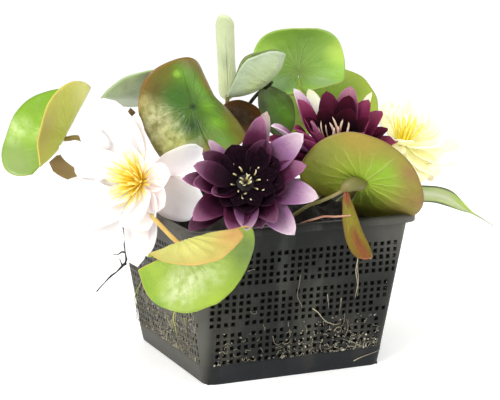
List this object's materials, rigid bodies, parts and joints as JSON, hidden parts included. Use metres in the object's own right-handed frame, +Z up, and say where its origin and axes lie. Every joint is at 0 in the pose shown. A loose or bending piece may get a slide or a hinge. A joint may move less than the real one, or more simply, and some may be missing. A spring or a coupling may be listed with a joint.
{
  "type": "potted dwarf water lily",
  "caption": "Square mesh pond basket of soil planted with dwarf water lilies: round notched pads on bent stalks, and white, dark purple and pale yellow star-shaped flowers.",
  "frame": {"origin": "centre of the basket's flat underside, on the surface that it rests on", "axes": "+Z up; the basket's walls face +X, -X, +Y and -Y; the white flower faces the corner between -X and -Y"},
  "size_m": [0.3479, 0.289, 0.2729],
  "materials": {
    "basket": "satin",
    "soil": "matte",
    "stalk": "satin",
    "folded_leaf_left": "satin",
    "pale_leaf_left": "satin",
    "bronze_leaf": "satin",
    "rolled_young_leaf": "satin",
    "sage_leaf": "satin",
    "round_leaf_back": "satin",
    "lime_leaf_back": "satin",
    "dark_leaf": "satin",
    "brown_leaf": "satin",
    "broad_leaf_right": "satin",
    "red_hanging_leaf": "satin",
    "folded_leaf_front": "satin",
    "grass_leaf_right": "satin",
    "white_flower": "matte",
    "purple_flower_front": "satin",
    "purple_flower_back": "satin",
    "yellow_flower": "matte",
    "yellow_stamens": "matte",
    "dark_stamens": "matte"
  },
  "bodies": {
    "root": {"basket": "basket", "soil": "soil", "folded_leaf_left": "folded_leaf_left", "folded_leaf_left_stalk": "stalk", "pale_leaf_left": "pale_leaf_left", "pale_leaf_left_stalk": "stalk", "bronze_leaf": "bronze_leaf", "bronze_leaf_stalk": "stalk", "rolled_young_leaf": "rolled_young_leaf", "rolled_young_leaf_stalk": "stalk", "sage_leaf": "sage_leaf", "sage_leaf_stalk": "stalk", "round_leaf_back": "round_leaf_back", "round_leaf_back_stalk": "stalk", "lime_leaf_back": "lime_leaf_back", "lime_leaf_back_stalk": "stalk", "dark_leaf": "dark_leaf", "dark_leaf_stalk": "stalk", "brown_leaf": "brown_leaf", "brown_leaf_stalk": "stalk", "broad_leaf_right": "broad_leaf_right", "broad_leaf_right_stalk": "stalk", "red_hanging_leaf": "red_hanging_leaf", "red_hanging_leaf_stalk": "stalk", "folded_leaf_front": "folded_leaf_front", "folded_leaf_front_stalk": "stalk", "white_flower": "white_flower", "white_flower_stamens": "yellow_stamens", "white_flower_stalk": "stalk", "purple_flower_front": "purple_flower_front", "purple_flower_front_stamens": "dark_stamens", "purple_flower_front_stalk": "stalk", "purple_flower_back": "purple_flower_back", "purple_flower_back_stamens": "dark_stamens", "purple_flower_back_stalk": "stalk", "yellow_flower": "yellow_flower", "yellow_flower_stamens": "yellow_stamens", "yellow_flower_stalk": "stalk", "grass_leaf_right": "grass_leaf_right"}
  },
  "joints": []
}
